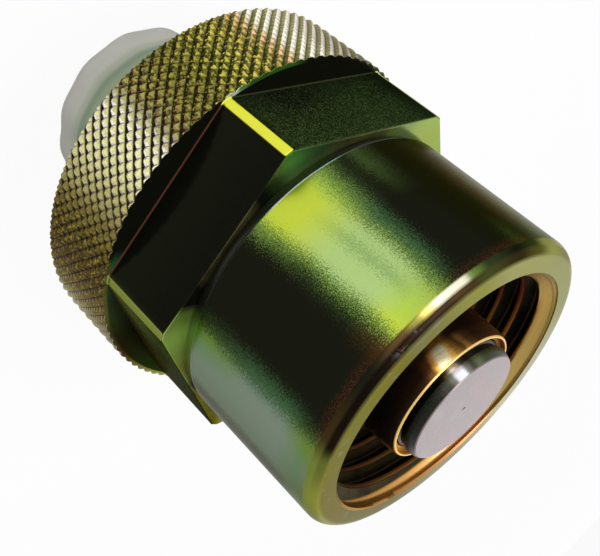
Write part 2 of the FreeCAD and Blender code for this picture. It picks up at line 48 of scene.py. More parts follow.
# Port adapter: steel, turned and milled, with the tube thread and a hexagon.
# It is screwed into the rear of the body, and its thread carries the dust cap.
# Its plating is the same greenish yellow chromate on zinc as the nut's.


class Signal:
    """A number in a material's nodes; sums and products add Math nodes."""

    def __init__(self, tree, socket):
        self.tree = tree
        self.socket = socket

    def math(self, operation, *others, swap=False):
        node = self.tree.nodes.new("ShaderNodeMath")
        node.operation = operation
        terms = [self, *others]
        if swap:
            terms.reverse()
        for index, term in enumerate(terms):
            if isinstance(term, Signal):
                self.tree.links.new(term.socket, node.inputs[index])
            else:
                node.inputs[index].default_value = term
        return Signal(self.tree, node.outputs[0])

    def __add__(self, other):
        return self.math("ADD", other)

    def __sub__(self, other):
        return self.math("SUBTRACT", other)

    def __rsub__(self, other):
        return self.math("SUBTRACT", other, swap=True)

    def __mul__(self, other):
        return self.math("MULTIPLY", other)

    def __truediv__(self, other):
        return self.math("DIVIDE", other)

    __radd__ = __add__
    __rmul__ = __mul__

    def sibling(self, output):
        """Another output of the same node."""
        return Signal(self.tree, self.socket.node.outputs[output])

    def clamped(self, low=0.0, high=1.0):
        return self.math("MAXIMUM", low).math("MINIMUM", high)

    def between(self, low, high):
        """0 below low, 1 above high, straight in between."""
        return ((self - low) / (high - low)).clamped()


class Nodes:
    """The shader nodes of a material or of the world."""

    def __init__(self, tree):
        self.tree = tree

    def add(self, kind, settings=None, inputs=None, output=0):
        """Any node: its settings first, then the values or links of its sockets."""
        node = self.tree.nodes.new(kind)
        for key, value in (settings or {}).items():
            if key == "stops":
                ramp = node.color_ramp.elements
                while len(ramp) > 1:
                    ramp.remove(ramp[-1])
                ramp[0].position, ramp[0].color = value[0][0], (*value[0][1], 1)
                for place, colour in value[1:]:
                    ramp.new(place).color = (*colour, 1)
            else:
                setattr(node, key, value)
        for key, value in (inputs or {}).items():
            if isinstance(value, Signal):
                self.tree.links.new(value.socket, node.inputs[key])
            else:
                node.inputs[key].default_value = value
        return Signal(self.tree, node.outputs[output])

    def seen(self):
        """1 for what the camera sees straight, in a mirror or through plastic, 0 for light on the part."""
        path = self.add("ShaderNodeLightPath", output="Is Camera Ray")
        return (path + path.sibling("Is Glossy Ray") + path.sibling("Is Transmission Ray")).clamped()

    def surface(self, shader):
        output = "Material Output" if "Material Output" in self.tree.nodes else "World Output"
        self.tree.links.new(shader.socket, self.tree.nodes[output].inputs["Surface"])


class Finish(Nodes):
    """A material being built, with its Principled shader."""

    def __init__(self, name, **constants):
        self.material = bpy.data.materials.new(name)
        self.material.use_nodes = True
        super().__init__(self.material.node_tree)
        self.shader = self.tree.nodes["Principled BSDF"]
        for socket, value in constants.items():
            self.shader.inputs[socket.replace("_", " ")].default_value = value

    def coordinates(self):
        """Object coordinates as one vector and as X, Y and Z."""
        vector = self.add("ShaderNodeTexCoord", output="Object")
        parts = self.add("ShaderNodeSeparateXYZ", inputs={"Vector": vector})
        return vector, parts, parts.sibling("Y"), parts.sibling("Z")

    def noise(self, vector, scale, detail=2.0, rough=0.5):
        return self.add("ShaderNodeTexNoise",
                        inputs={"Vector": vector, "Scale": scale, "Detail": detail, "Roughness": rough})

    def stretched_noise(self, vector, stretch, scale, detail=2.0):
        """Noise drawn out along an axis, as a tool or a cloth leaves it."""
        drawn = self.add("ShaderNodeMapping", inputs={"Vector": vector, "Scale": stretch})
        return self.noise(drawn, scale, detail)

    def plain_ramp(self, factor, stops):
        ramp = self.add("ShaderNodeValToRGB", {"stops": stops}, {"Fac": factor})
        ramp.socket.node.color_ramp.interpolation = "EASE"
        return ramp

    def ramp(self, factor, stops):
        """A ramp of (place, colour)."""
        return self.plain_ramp(factor, [(place, paint(*colour)) for place, colour in stops])

    def mix(self, factor, first, second, blend="MIX"):
        """Mix two colours, each a colour or a link."""
        first, second = (value if isinstance(value, Signal) else (*paint(*value), 1)
                         for value in (first, second))
        return self.add("ShaderNodeMix", {"data_type": "RGBA", "blend_type": blend},
                        {0: factor, 6: first, 7: second}, output=2)

    def set(self, socket, value):
        self.tree.links.new(value.socket, self.shader.inputs[socket])

    def bump(self, height, strength, distance=0.02 * mm):
        normal = self.add("ShaderNodeBump",
                          inputs={"Height": height, "Strength": strength, "Distance": distance})
        self.set("Normal", normal)


def turn(angle):
    """Place of an azimuth in degrees on a ramp that runs once round."""
    return (angle % 360) / 360


def around(x, y):
    """Azimuth round the part's axis as a share of a turn, from 0 at +X."""
    return (x.math("ARCTAN2", y, swap=True) / (2 * pi)).math("FRACT")


def from_axis(x, y):
    """Distance from the part's axis."""
    return (x * x + y * y).math("SQRT")


def closed(stops):
    """Stops by azimuth in degrees, put in order and joined up where the turn begins and ends."""
    ordered = sorted((turn(angle), colour) for angle, colour in stops)
    first_place, first = ordered[0]
    last_place, last = ordered[-1]
    share = (1 - last_place) / (1 - last_place + first_place)
    seam = tuple(a + (b - a) * share for a, b in zip(last, first))
    return [(0.0, seam), *ordered, (1.0, seam)]


def all_round(finish, azimuth, stops):
    """A ramp of (azimuth in degrees, colour) that closes on itself."""
    return finish.plain_ramp(azimuth, closed([(angle, paint(*colour)) for angle, colour in stops]))


def share_round(finish, azimuth, stops):
    """As all_round, for plain numbers."""
    return finish.plain_ramp(azimuth, closed([(angle, (share,) * 3) for angle, share in stops]))


def arc(centre_r, centre_z, radius, start, stop, steps=8):
    """Points of an outline's round corner, by angle in degrees."""
    points = []
    for step in range(steps + 1):
        angle = radians(start + (stop - start) * step / steps)
        points.append((centre_r + radius * cos(angle), centre_z + radius * sin(angle)))
    return points


def keep(name, build, finish, sharp):
    """Make an object of a bmesh: smooth but for edges sharper than an angle in degrees."""
    for face in build.faces:
        face.smooth = True
    build.normal_update()
    mesh = bpy.data.meshes.new(name)
    build.to_mesh(mesh)
    build.free()
    mesh.set_sharp_from_angle(angle=radians(sharp))
    mesh.materials.append(finish.material)
    piece = bpy.data.objects.new(name, mesh)
    bpy.context.scene.collection.objects.link(piece)
    return piece


def lathe(name, outline, finish, steps=240, closed=True):
    """Turn an outline of (radius, Z) points in millimetres round the axis."""
    build = bmesh.new()
    rings = []
    for radius, up in outline:
        if radius == 0:
            rings.append([build.verts.new((0, 0, up * mm))])
            continue
        ring = []
        for step in range(steps):
            angle = 2 * pi * step / steps
            ring.append(build.verts.new((radius * cos(angle) * mm, radius * sin(angle) * mm, up * mm)))
        rings.append(ring)
    pairs = list(zip(rings, rings[1:]))
    if closed and len(rings[0]) > 1 and len(rings[-1]) > 1:
        pairs.append((rings[-1], rings[0]))
    for lower, upper in pairs:
        for step in range(steps):
            after = (step + 1) % steps
            if len(lower) == 1:
                build.faces.new((lower[0], upper[after], upper[step]))
            elif len(upper) == 1:
                build.faces.new((lower[step], lower[after], upper[0]))
            else:
                build.faces.new((lower[step], lower[after], upper[after], upper[step]))
    bmesh.ops.recalc_face_normals(build, faces=build.faces)
    return keep(name, build, finish, sharp=32)


def thread(name, low, high, crest, root, pitch, finish, lead_low=0.0, lead_high=0.0, start=0.0):
    """Right-hand helical thread on a sleeve between two heights, in millimetres.

    crest and root are radii; lead_low and lead_high turn the ends down by a 45 degree cone.
    A tooth is a list of (share of the pitch, share of the depth).
    """
    steps = 180
    tooth = [
        (0.0, 0.0), (0.06, 0.0), (0.14, 0.05), (0.36, 0.92), (0.44, 1.0), (0.56, 1.0), (0.64, 0.92),
        (0.86, 0.05), (0.94, 0.0),
    ]
    per_lap = len(tooth)
    rows = int((high - low) / pitch + 3) * per_lap
    outward = 1 if crest > root else -1
    build = bmesh.new()

    def place(step, row):
        lap, slot = divmod(row, per_lap)
        along, depth = tooth[slot]
        up = low + pitch * (lap - 1 + along + step / steps + start)
        radius = crest + (root - crest) * depth
        up = min(max(up, low), high)
        for edge, lead in ((low, lead_low), (high, lead_high)):
            if lead:
                limit = crest - outward * (lead - abs(up - edge))
                if abs(up - edge) < lead and outward * (radius - limit) > 0:
                    radius = limit
        angle = 2 * pi * step / steps
        return radius * cos(angle) * mm, radius * sin(angle) * mm, up * mm

    grid = [[build.verts.new(place(step, row)) for step in range(steps)] for row in range(rows)]
    for row in range(rows - 1):
        for step in range(steps - 1):
            corners = (grid[row][step], grid[row][step + 1], grid[row + 1][step + 1], grid[row + 1][step])
            build.faces.new(corners)
        if row + per_lap + 1 < rows:
            corners = (grid[row][steps - 1], grid[row + per_lap][0],
                       grid[row + per_lap + 1][0], grid[row + 1][steps - 1])
            build.faces.new(corners)
    bmesh.ops.remove_doubles(build, verts=build.verts, dist=0.002 * mm)
    bmesh.ops.dissolve_degenerate(build, edges=build.edges, dist=0.002 * mm)
    if outward < 0:
        bmesh.ops.reverse_faces(build, faces=build.faces)
    return keep(name, build, finish, sharp=40)


def hexagon(name, flats, corner, low, high, inner, edge, foot, finish):
    """Hexagonal collar with turned-off corners, flats square to X.

    edge is the small chamfer round the front; foot is the same at the rear, or, below zero, a fillet.
    """
    angles = set()
    for corner_number in range(6):
        middle = 30 + 60 * corner_number
        half = 30 - degrees(acos(flats / 2 / corner))
        for share in (-1, -0.5, 0, 0.5, 1):
            angles.add(round(middle + half * share, 4))
        for share in range(1, 20):
            angles.add(round(middle + half + (60 - 2 * half) * share / 20, 4) % 360)
    angles = sorted(angles)

    def outer(angle):
        off_flat = (angle + 30) % 60 - 30
        return min(corner, flats / 2 / cos(radians(off_flat)))

    loops = [
        (None, low),
        (-foot, low),
        (0, low + abs(foot)),
        (0, high - edge),
        (-edge, high),
        (None, high),
    ]
    build = bmesh.new()
    rings = []
    for inset, up in loops:
        ring = []
        for angle in angles:
            radius = inner if inset is None else outer(angle) + inset
            ring.append(build.verts.new((radius * cos(radians(angle)) * mm,
                                         radius * sin(radians(angle)) * mm, up * mm)))
        rings.append(ring)
    count = len(angles)
    for lower, upper in zip(rings, rings[1:] + rings[:1]):
        for index in range(count):
            after = (index + 1) % count
            build.faces.new((lower[index], lower[after], upper[after], upper[index]))
    bmesh.ops.recalc_face_normals(build, faces=build.faces)
    return keep(name, build, finish, sharp=18)


def paint(red, green, blue):
    """A colour as it should look, 0 to 255, turned linear."""
    linear = []
    for share in (red / 255, green / 255, blue / 255):
        linear.append(share / 12.92 if share <= 0.04045 else ((share + 0.055) / 1.055) ** 2.4)
    return tuple(linear)


# Colours are written as they should look, 0 to 255.
# Most of them are laid round the parts by azimuth as painted reflection, highlight and shade; night is painted
# shade.
night = (25, 26, 18)
moss = (44, 58, 30)
leaf = (104, 132, 60)
lime = (194, 210, 66)
mint = (122, 136, 120)
olive = (146, 142, 84)
straw = (206, 198, 140)
umber = (60, 44, 22)
rust = (176, 92, 48)
pale = (174, 202, 126)
teal = (60, 92, 58)
edge_tint = (0.5, 0.5, 0.45, 1)
dark_edge_tint = (0.22, 0.22, 0.14, 1)


def dull_chromate():
    """Even, cloudy plating for surfaces that are half hidden."""
    finish = Finish("dull_chromate", Metallic=0.9)
    place, x, y, z = finish.coordinates()
    cloud = finish.noise(place, 130.0, 4.0)
    grain = finish.noise(place, 2600.0, 2.0)
    tint = finish.ramp(cloud, [(0.3, moss), (0.45, olive), (0.6, straw), (0.72, leaf)])
    finish.set("Base Color", finish.mix(grain.between(0.35, 0.75) * 0.4, tint, umber))
    finish.set("Roughness", 0.28 + grain * 0.2)
    finish.bump(grain, 0.15)
    return finish


plating = dull_chromate()
adapter_low, adapter_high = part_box("port_adapter")
port_z = adapter_low.z / mm
spigot_z = adapter_high.z / mm
port_thread_r = 13.0
undercut_z = port_z + 10.2
hex_rear_z = undercut_z + 1.5
hex_face_z = hex_rear_z + 5.7
port_lead = 0.95
port_thread_depth = 0.92
port_pitch = 1.5
cone_r = 10.11
tube_r = 9.05
tube_stop_z = port_z + 9.5
bore_r = 7.5
spring_room_r = 8.6
spigot_r = 11.5
ring_groove_r = 10.0
ring_groove_z = spigot_z - 4.25
neck_stop_r = 12.05
adapter_outline = [
    (port_thread_r - port_lead, port_z),
    (cone_r + 0.14, port_z),
    (cone_r, port_z + 0.1),
    (tube_r, port_z + 5.0),
    (tube_r, tube_stop_z),
    (bore_r, tube_stop_z),
    (bore_r, hex_face_z - 1.1),
    (spring_room_r, hex_face_z),
    (spring_room_r, spigot_z),
    (spigot_r, spigot_z),
    (spigot_r, spigot_z - 1.4),
    (ring_groove_r, spigot_z - 1.4),
    (ring_groove_r, ring_groove_z),
    (spigot_r, ring_groove_z),
    (spigot_r, hex_face_z),
    (neck_stop_r, hex_face_z),
    (neck_stop_r, undercut_z),
]
adapter_turning = lathe("adapter_turning", adapter_outline, plating, closed=False)
adapter_thread = thread("adapter_thread", port_z, undercut_z, port_thread_r,
                        port_thread_r - port_thread_depth, port_pitch, plating,
                        lead_low=port_lead, start=0.5)
adapter_flats = (adapter_high.x - adapter_low.x) / mm
adapter_hexagon = hexagon("adapter_hexagon", adapter_flats, adapter_flats / sqrt(3) - 0.6, hex_rear_z,
                          hex_face_z, inner=12.0, edge=0.25, foot=0.25, finish=plating)
for piece in (adapter_turning, adapter_thread, adapter_hexagon):
    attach(piece, "plug")
    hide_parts("port_adapter")

# Seal between adapter and body: a nitrile O-ring backed by a white PTFE ring.
# Both lie in the groove near the end of the adapter's spigot.


def black_rubber():
    finish = Finish("black_rubber", Specular_IOR_Level=0.4)
    place, x, y, z = finish.coordinates()
    bloom = finish.noise(place, 900.0, 3.0)
    finish.set("Base Color", finish.ramp(bloom, [(0.35, (24, 24, 25)), (0.7, (44, 43, 42))]))
    finish.set("Roughness", 0.42 + bloom * 0.2)
    finish.bump(bloom, 0.1)
    return finish


def white_ptfe():
    finish = Finish("white_ptfe")
    place, x, y, z = finish.coordinates()
    shade = finish.noise(place, 500.0, 2.0)
    finish.set("Base Color", finish.ramp(shade, [(0.3, (214, 212, 204)), (0.7, (232, 231, 226))]))
    finish.set("Roughness", 0.45 + shade * 0.15)
    return finish


def dress(node, finish):
    """Give a CAD node that keeps its shape its material."""
    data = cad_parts[node].data
    data.materials.clear()
    data.materials.append(finish.material)


rubber = black_rubber()
dress("adapter_o_ring", rubber)
dress("adapter_backup_ring", white_ptfe())

# Guide and spring: a turned steel spider clamped between adapter and body.
# The spring of drawn wire stands on it round the poppet's stem.


def plain_steel(name, light, dark):
    finish = Finish(name, Metallic=1.0)
    place, x, y, z = finish.coordinates()
    marks = finish.stretched_noise(place, (1.0, 1.0, 14.0), 700.0)
    cloud = finish.noise(place, 160.0, 3.0)
    finish.set("Base Color", finish.mix(cloud.between(0.3, 0.7), dark, light))
    finish.set("Roughness", 0.24 + marks * 0.2)
    finish.bump(marks, 0.15, 0.015 * mm)
    return finish


steel = plain_steel("plain_steel", (176, 174, 172), (140, 138, 138))
dress("poppet_guide", steel)
dress("poppet_spring", plain_steel("spring_wire", (150, 148, 148), (104, 103, 106)))

# Body: one turned steel piece under gold-brown chromate.
# Nose tube with a thin mouth ring, barrel, collar behind the nut's flange, neck.
body_low, body_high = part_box("plug_body")
mouth_z = body_high.z / mm
neck_z = body_low.z / mm
collar_r = body_high.x / mm
neck_r = 13.02
socket_r = 11.52
barrel_bore_r = 10.6
nose_r = 10.0
mouth_r = 9.4
lip_r = 8.68
nose_bore_r = 9.3
nose_rear_z = mouth_z - 9.2
barrel_r = 12.2
collar_rear_z = neck_z + 7.8
collar_front_z = collar_rear_z + 3.8
crown_radius = 8.8
crown_turn = 15.0
crown_length = 2.4
body_outline = [
    (socket_r, neck_z),
    (neck_r, neck_z),
    (neck_r, collar_rear_z),
    (collar_r, collar_rear_z),
    (collar_r, collar_front_z - 0.5),
    (collar_r - 0.5, collar_front_z),
    (barrel_r, collar_front_z),
    (barrel_r, nose_rear_z - 1.2),
    (barrel_r - 1.2, nose_rear_z),
    (nose_r, nose_rear_z),
    *arc(nose_r - crown_radius, mouth_z - crown_length, crown_radius, 0, crown_turn, 10),
    (nose_r - 0.38, mouth_z - 0.03),
    (nose_r - 0.44, mouth_z),
    *arc(mouth_r + 0.08, mouth_z - 0.08, 0.08, 90, 180, 4),
    (mouth_r, mouth_z - 0.8),
    (lip_r + 0.1, mouth_z - 0.8),
    (lip_r, mouth_z - 0.9),
    (lip_r, mouth_z - 1.6),
    (nose_bore_r, mouth_z - 2.22),
    (nose_bore_r, nose_rear_z),
    (barrel_bore_r, nose_rear_z - 1.3),
    (barrel_bore_r, neck_z + 13.5),
    (socket_r, neck_z + 13.5),
]


def gold_chromate_with_painted_light():
    """Gold to dark brown round the nose as painted reflection and shade, with a painted highlight near the mouth
    and a pale mouth ring.
    """
    finish = Finish("gold_chromate_with_painted_light", Metallic=0.5, Specular_IOR_Level=0.1,
                    Specular_Tint=(0.6, 0.45, 0.2, 1))
    place, x, y, z = finish.coordinates()
    warp = finish.noise(place, 260.0, 4.0)
    grain = finish.noise(place, 5200.0, 2.0)
    azimuth = (around(x, y) + (warp - 0.5) * 0.04).math("FRACT")
    gold = (232, 176, 84)
    bronze = (150, 100, 44)
    brown = (54, 36, 18)
    # Painted highlight near the mouth at about 26 to 38 degrees; painted shade from about 42 to 116 degrees.
    mouth_light_and_shade = all_round(finish, azimuth, [
        (0, (58, 38, 22)), (8, (84, 58, 34)), (14, (150, 110, 50)), (17, (90, 62, 30)),
        (22, (150, 112, 48)), (26, gold), (29, (255, 244, 200)), (35, (255, 240, 190)), (38, gold),
        (42, (96, 60, 30)), (50, (46, 30, 18)), (78, (34, 24, 16)), (116, (36, 26, 18)), (124, bronze),
        (140, gold), (170, bronze), (220, gold), (290, bronze),
    ])
    # Further back from the mouth: a weaker painted highlight at about 25 to 33 degrees, and painted shade round
    # the rest.
    deep_light_and_shade = all_round(finish, azimuth, [
        (0, (40, 26, 16)), (16, (50, 32, 15)), (25, (116, 80, 28)), (33, (124, 86, 30)),
        (42, (58, 36, 18)), (56, (34, 24, 15)), (100, (28, 21, 14)), (160, (90, 60, 30)), (260, bronze),
    ])
    forward = z.between((mouth_z - 2.9) * mm, (mouth_z - 2.1) * mm)
    tint = finish.mix(forward, deep_light_and_shade, mouth_light_and_shade)
    tint = finish.mix(grain.between(0.45, 0.8) * 0.25, tint, brown)
    radius = from_axis(x, y)
    inside = 1 - radius.between((nose_r - 0.2) * mm, (nose_r - 0.1) * mm)
    at_mouth = z.between((mouth_z - 0.25) * mm, (mouth_z - 0.15) * mm)
    tint = finish.mix(inside * at_mouth, tint, (238, 198, 122))
    finish.set("Base Color", tint)
    marks = finish.stretched_noise(place, (0.06, 0.06, 1.0), 5200.0)
    finish.set("Roughness", 0.2 + marks * 0.16)
    finish.bump(marks, 0.12)
    return finish


plug_body = lathe("plug_body_turning", body_outline, gold_chromate_with_painted_light())
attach(plug_body, "plug")
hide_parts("plug_body")

# Poppet: hardened steel valve with a ground flat face and a centre-drill mark.
# Its shoulder closes on the lip; a rubber ring sits in the groove behind it.
poppet_low, poppet_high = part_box("poppet")
face_z = poppet_high.z / mm
stem_end_z = poppet_low.z / mm
shoulder_r = poppet_high.x / mm
poppet_r = 8.6
shoulder_z = mouth_z - 1.7
seal_front_z = shoulder_z - 1.0
head_rear_z = seal_front_z - 3.1
seal_rear_z = seal_front_z - 1.9
seal_groove_r = 7.55
waist_r = poppet_r - 0.28
stem_r = 3.0
poppet_outline = [
    (0, face_z - 0.25),
    (0.18, face_z - 0.1),
    (0.28, face_z),
    (poppet_r - 0.45, face_z),
    (poppet_r - 0.38, face_z - 0.08),
    (poppet_r - 0.25, face_z - 0.35),
    (poppet_r - 0.12, face_z - 0.7),
    (poppet_r - 0.03, face_z - 1.1),
    (poppet_r, face_z - 1.5),
    (waist_r, face_z - 1.95),
    (waist_r, face_z - 2.45),
    (poppet_r, face_z - 2.65),
    (poppet_r, shoulder_z),
    (shoulder_r, shoulder_z - 0.4),
    (shoulder_r, seal_front_z),
    (seal_groove_r, seal_front_z),
    (seal_groove_r, seal_rear_z),
    (shoulder_r, seal_rear_z),
    (shoulder_r, head_rear_z),
    (stem_r, head_rear_z),
    (stem_r, stem_end_z + 0.5),
    (stem_r - 0.5, stem_end_z),
    (0, stem_end_z),
]


def ground_steel_with_painted_light():
    """Grey steel with a lavender-pink cast and fine rings from turning on the face; round its side, a painted
    highlight and painted shade.
    """
    finish = Finish("ground_steel_with_painted_light", Metallic=0.88)
    place, x, y, z = finish.coordinates()
    radius = from_axis(x, y)
    cloud = finish.noise(place, 190.0, 3.0)
    grain = finish.noise(place, 3600.0, 2.0)
    face_tint = finish.ramp(cloud, [
        (0.34, (128, 110, 112)),
        (0.5, (120, 109, 110)),
        (0.66, (124, 117, 115)),
    ])
    # The side round the turn is painted light: a highlight at about 26 to 32 degrees, and painted shade from
    # about 42 to 110 degrees.
    side_tint = all_round(finish, around(x, y), [
        (0, (60, 66, 40)), (10, (96, 104, 72)), (16, (64, 66, 54)), (22, (120, 122, 112)),
        (26, (240, 242, 252)), (32, (210, 210, 220)), (36, (90, 90, 76)), (42, (40, 42, 32)),
        (52, (24, 27, 18)), (110, (28, 30, 24)), (130, (84, 76, 72)), (200, (190, 190, 192)),
        (240, (110, 110, 108)), (300, (66, 66, 62)),
    ])
    on_face = z.between((face_z - 0.2) * mm, (face_z - 0.1) * mm)
    tint = finish.mix(on_face, side_tint, face_tint)
    pip = 1 - radius.between(0.2 * mm, 0.34 * mm)
    tint = finish.mix(pip, tint, (64, 56, 54))
    finish.set("Base Color", finish.mix(grain.between(0.4, 0.8) * 0.18, tint, (88, 80, 80)))
    rings = (radius * 16000.0).math("SINE") * 0.5 + grain
    finish.set("Roughness", 0.3 + grain * 0.14)
    finish.bump(rings, 0.08, 0.01 * mm)
    return finish


poppet = lathe("poppet_turning", poppet_outline, ground_steel_with_painted_light())
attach(poppet, "valve")
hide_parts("poppet")
dress("poppet_seal", rubber)

# Union nut: one steel piece turned from hexagon bar under yellow-green chromate.
# Diamond-knurled ring, hexagon with turned-off corners, plain skirt, M38 x 3 thread.
# It spins on the body's collar and is screwed up by hand or with a spanner.
nut_low, nut_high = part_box("union_nut")
nut_rear_z = nut_low.z / mm
rim_z = nut_high.z / mm
knurl_r = nut_high.x / mm
flange_front_z = nut_rear_z + 7.2
ring_front_z = nut_rear_z + 12.9
hex_front_z = ring_front_z + 11.6
skirt_rear_z = hex_front_z + 1.1
skirt_r = 22.65
step_r = 22.1
rim_round = 1.9
nut_bore_r = 17.2
flange_bore_r = 13.32
relief_r = 19.3
relief_rear_z = rim_z - 19.5
relief_front_z = rim_z - 16.0
thread_minor_r = 17.376
thread_major_r = 19.0
thread_pitch = 3.0
nut_flats = 46.0
nut_corner_r = 26.28


def skirt_plating_with_painted_light():
    """Chromate round the skirt in bands of painted reflection: lime and pale painted highlights, and moss to
    near black painted shade, grainy at their edges.
    """
    finish = Finish("skirt_plating_with_painted_light", Metallic=1.0, Specular_Tint=edge_tint)
    place, x, y, z = finish.coordinates()
    wide = finish.noise(place, 90.0, 3.0)
    grain = finish.noise(place, 6500.0, 2.0, 0.7)
    azimuth = (around(x, y) + (wide - 0.5) * 0.012 + (grain - 0.5) * 0.045).math("FRACT")
    # Painted reflection and shade in bands round the turn, in three sets that blend along the skirt.
    rear_light_and_shade = all_round(finish, azimuth, [
        (-150, olive), (-110, moss), (-70, straw), (-44, olive), (-28, (132, 128, 106)),
        (-21, (112, 106, 68)), (-16, umber), (-8, night), (3, night), (8, moss), (11, (62, 79, 40)),
        (15, night), (19, moss), (23, leaf), (27, (160, 190, 76)), (30, lime), (44, lime), (48, leaf),
        (54, night), (77, night), (82, moss), (87, leaf), (91, (106, 134, 96)), (97, mint), (106, mint),
        (114, (66, 74, 60)), (122, (30, 36, 24)), (140, olive),
    ])
    middle_light_and_shade = all_round(finish, azimuth, [
        (-150, olive), (-110, moss), (-70, straw), (-44, olive), (-22, (136, 132, 106)),
        (-17, (102, 94, 60)), (-12, umber), (-6, night), (19, night), (24, teal), (27, leaf), (30, pale),
        (32, pale), (34.5, (128, 160, 92)), (37, pale), (43, pale), (46, leaf), (49, moss), (53, night),
        (76, night), (83, teal), (89, mint), (106, mint), (114, (80, 84, 70)), (122, (34, 42, 34)),
        (140, olive),
    ])
    rim_side_light_and_shade = all_round(finish, azimuth, [
        (-150, olive), (-70, straw), (-40, (126, 136, 108)), (-26, (126, 132, 116)),
        (-18, (100, 108, 72)), (-12, moss), (-7, night), (-4, moss), (0, night), (20, night), (24, moss),
        (28, leaf), (32, (166, 194, 84)), (41, (176, 204, 76)), (44, lime), (47, leaf), (50, umber),
        (56, night), (78, night), (82, moss), (88, leaf), (98, (106, 130, 102)), (110, (104, 124, 92)),
        (122, leaf), (140, olive),
    ])
    drift = z + (wide - 0.5) * 5 * mm
    to_middle = drift.between((skirt_rear_z + 3) * mm, (skirt_rear_z + 10) * mm)
    to_rim = drift.between((rim_z - 7) * mm, (rim_z - 3.4) * mm)
    skirt_tint = finish.mix(to_rim, finish.mix(to_middle, rear_light_and_shade, middle_light_and_shade), rim_side_light_and_shade)
    # Painted highlight on the rear chamfer at about 20 to 40 degrees, with painted shade beside it.
    edge_light = all_round(finish, around(x, y), [
        (-60, olive), (-30, moss), (6, night), (14, (76, 110, 84)), (20, (170, 200, 196)),
        (30, (236, 244, 250)), (40, (226, 238, 240)), (46, leaf), (52, moss), (58, night), (80, night),
        (88, leaf), (96, (150, 142, 150)), (120, (120, 124, 96)), (180, moss),
    ])
    at_rear = 1 - z.between((skirt_rear_z + 0.3) * mm, (skirt_rear_z + 0.45) * mm)
    on_step = 1 - z.between((skirt_rear_z - 0.1) * mm, skirt_rear_z * mm)
    # The step below the chamfer, in painted shade and light round the turn.
    step_light_and_shade = all_round(finish, around(x, y), [
        (-60, olive), (-20, moss), (4, night), (30, moss), (50, night), (80, night), (92, leaf),
        (130, olive),
    ])
    skirt_tint = finish.mix(at_rear, skirt_tint, finish.mix(on_step, edge_light, step_light_and_shade))
    near_rim = z.between((rim_z - 3.2) * mm, (rim_z - rim_round) * mm) * grain.between(0.48, 0.62)
    skirt_tint = finish.mix(near_rim * 0.18, skirt_tint, rust)
    # Painted highlight low on the rim's round at about 22 to 35 degrees; painted shade higher on the round.
    low_round_light_and_shade = all_round(finish, around(x, y), [
        (-150, olive), (-60, (244, 240, 214)), (-32, straw), (-16, (150, 150, 84)), (-9, moss),
        (0, night), (12, moss), (19, leaf), (22, (250, 244, 214)), (31, (255, 250, 220)),
        (35, (220, 196, 110)), (39, (104, 100, 44)), (44, umber), (58, night), (80, umber),
        (92, (110, 126, 54)), (112, (134, 142, 66)), (160, olive),
    ])
    high_round_light_and_shade = all_round(finish, around(x, y), [
        (-150, olive), (-60, straw), (-36, olive), (-20, (156, 160, 90)), (-10, (84, 80, 36)),
        (0, (48, 40, 22)), (14, (64, 66, 30)), (22, (56, 40, 22)), (31, (30, 20, 11)), (42, (20, 13, 8)),
        (52, (22, 15, 10)), (62, (20, 14, 10)), (83, (26, 18, 12)), (90, (96, 102, 44)),
        (110, (138, 140, 64)), (140, (150, 146, 84)), (160, olive),
    ])
    on_round = z.between((rim_z - rim_round + 0.05) * mm, (rim_z - rim_round + 0.3) * mm)
    up_round = z.between((rim_z - 1.1) * mm, (rim_z - 0.75) * mm)
    skirt_tint = finish.mix(on_round, skirt_tint, finish.mix(up_round, low_round_light_and_shade, high_round_light_and_shade))
    scuffed = share_round(finish, around(x, y), [(39, 0.0), (43, 0.8), (47, 0.8), (52, 0.0)])
    scuffs = finish.noise(place, 1100.0, 4.0, 0.7).between(0.54, 0.64) * scuffed
    skirt_tint = finish.mix(scuffs * on_round, skirt_tint, (62, 58, 60))
    # Rim face: lighter and darker round the turn as painted reflection; the blots mixed in below are grey
    # scuffs.
    rim_tint = all_round(finish, around(x, y), [
        (-150, (137, 134, 117)), (-135, (158, 154, 130)), (-120, (181, 179, 154)),
        (-105, (170, 168, 147)), (-60, (138, 138, 100)), (0, (136, 136, 90)), (18, (122, 121, 62)),
        (42, (106, 103, 66)), (50, (104, 99, 44)), (80, (104, 100, 50)), (110, (106, 99, 57)),
        (170, (107, 99, 70)),
    ])
    blots = finish.noise(place, 520.0, 3.0, 0.65)
    rim_tint = finish.mix(blots.between(0.6, 0.7) * 0.5, rim_tint, (122, 118, 118))
    on_rim = z.between((rim_z - 0.3) * mm, (rim_z - 0.06) * mm)
    finish.set("Base Color", finish.mix(on_rim, skirt_tint, rim_tint))
    radius = from_axis(x, y)
    turning = (radius * 22000.0).math("SINE") * on_rim
    marks = finish.stretched_noise(place, (0.06, 0.06, 1.0), 5200.0)
    finish.set("Metallic", 1 - at_rear * 0.85)
    finish.set("Roughness", 0.18 + marks * 0.14 + grain * 0.1)
    finish.bump(marks + turning * 0.4 + grain * 0.3, 0.1)
    return finish


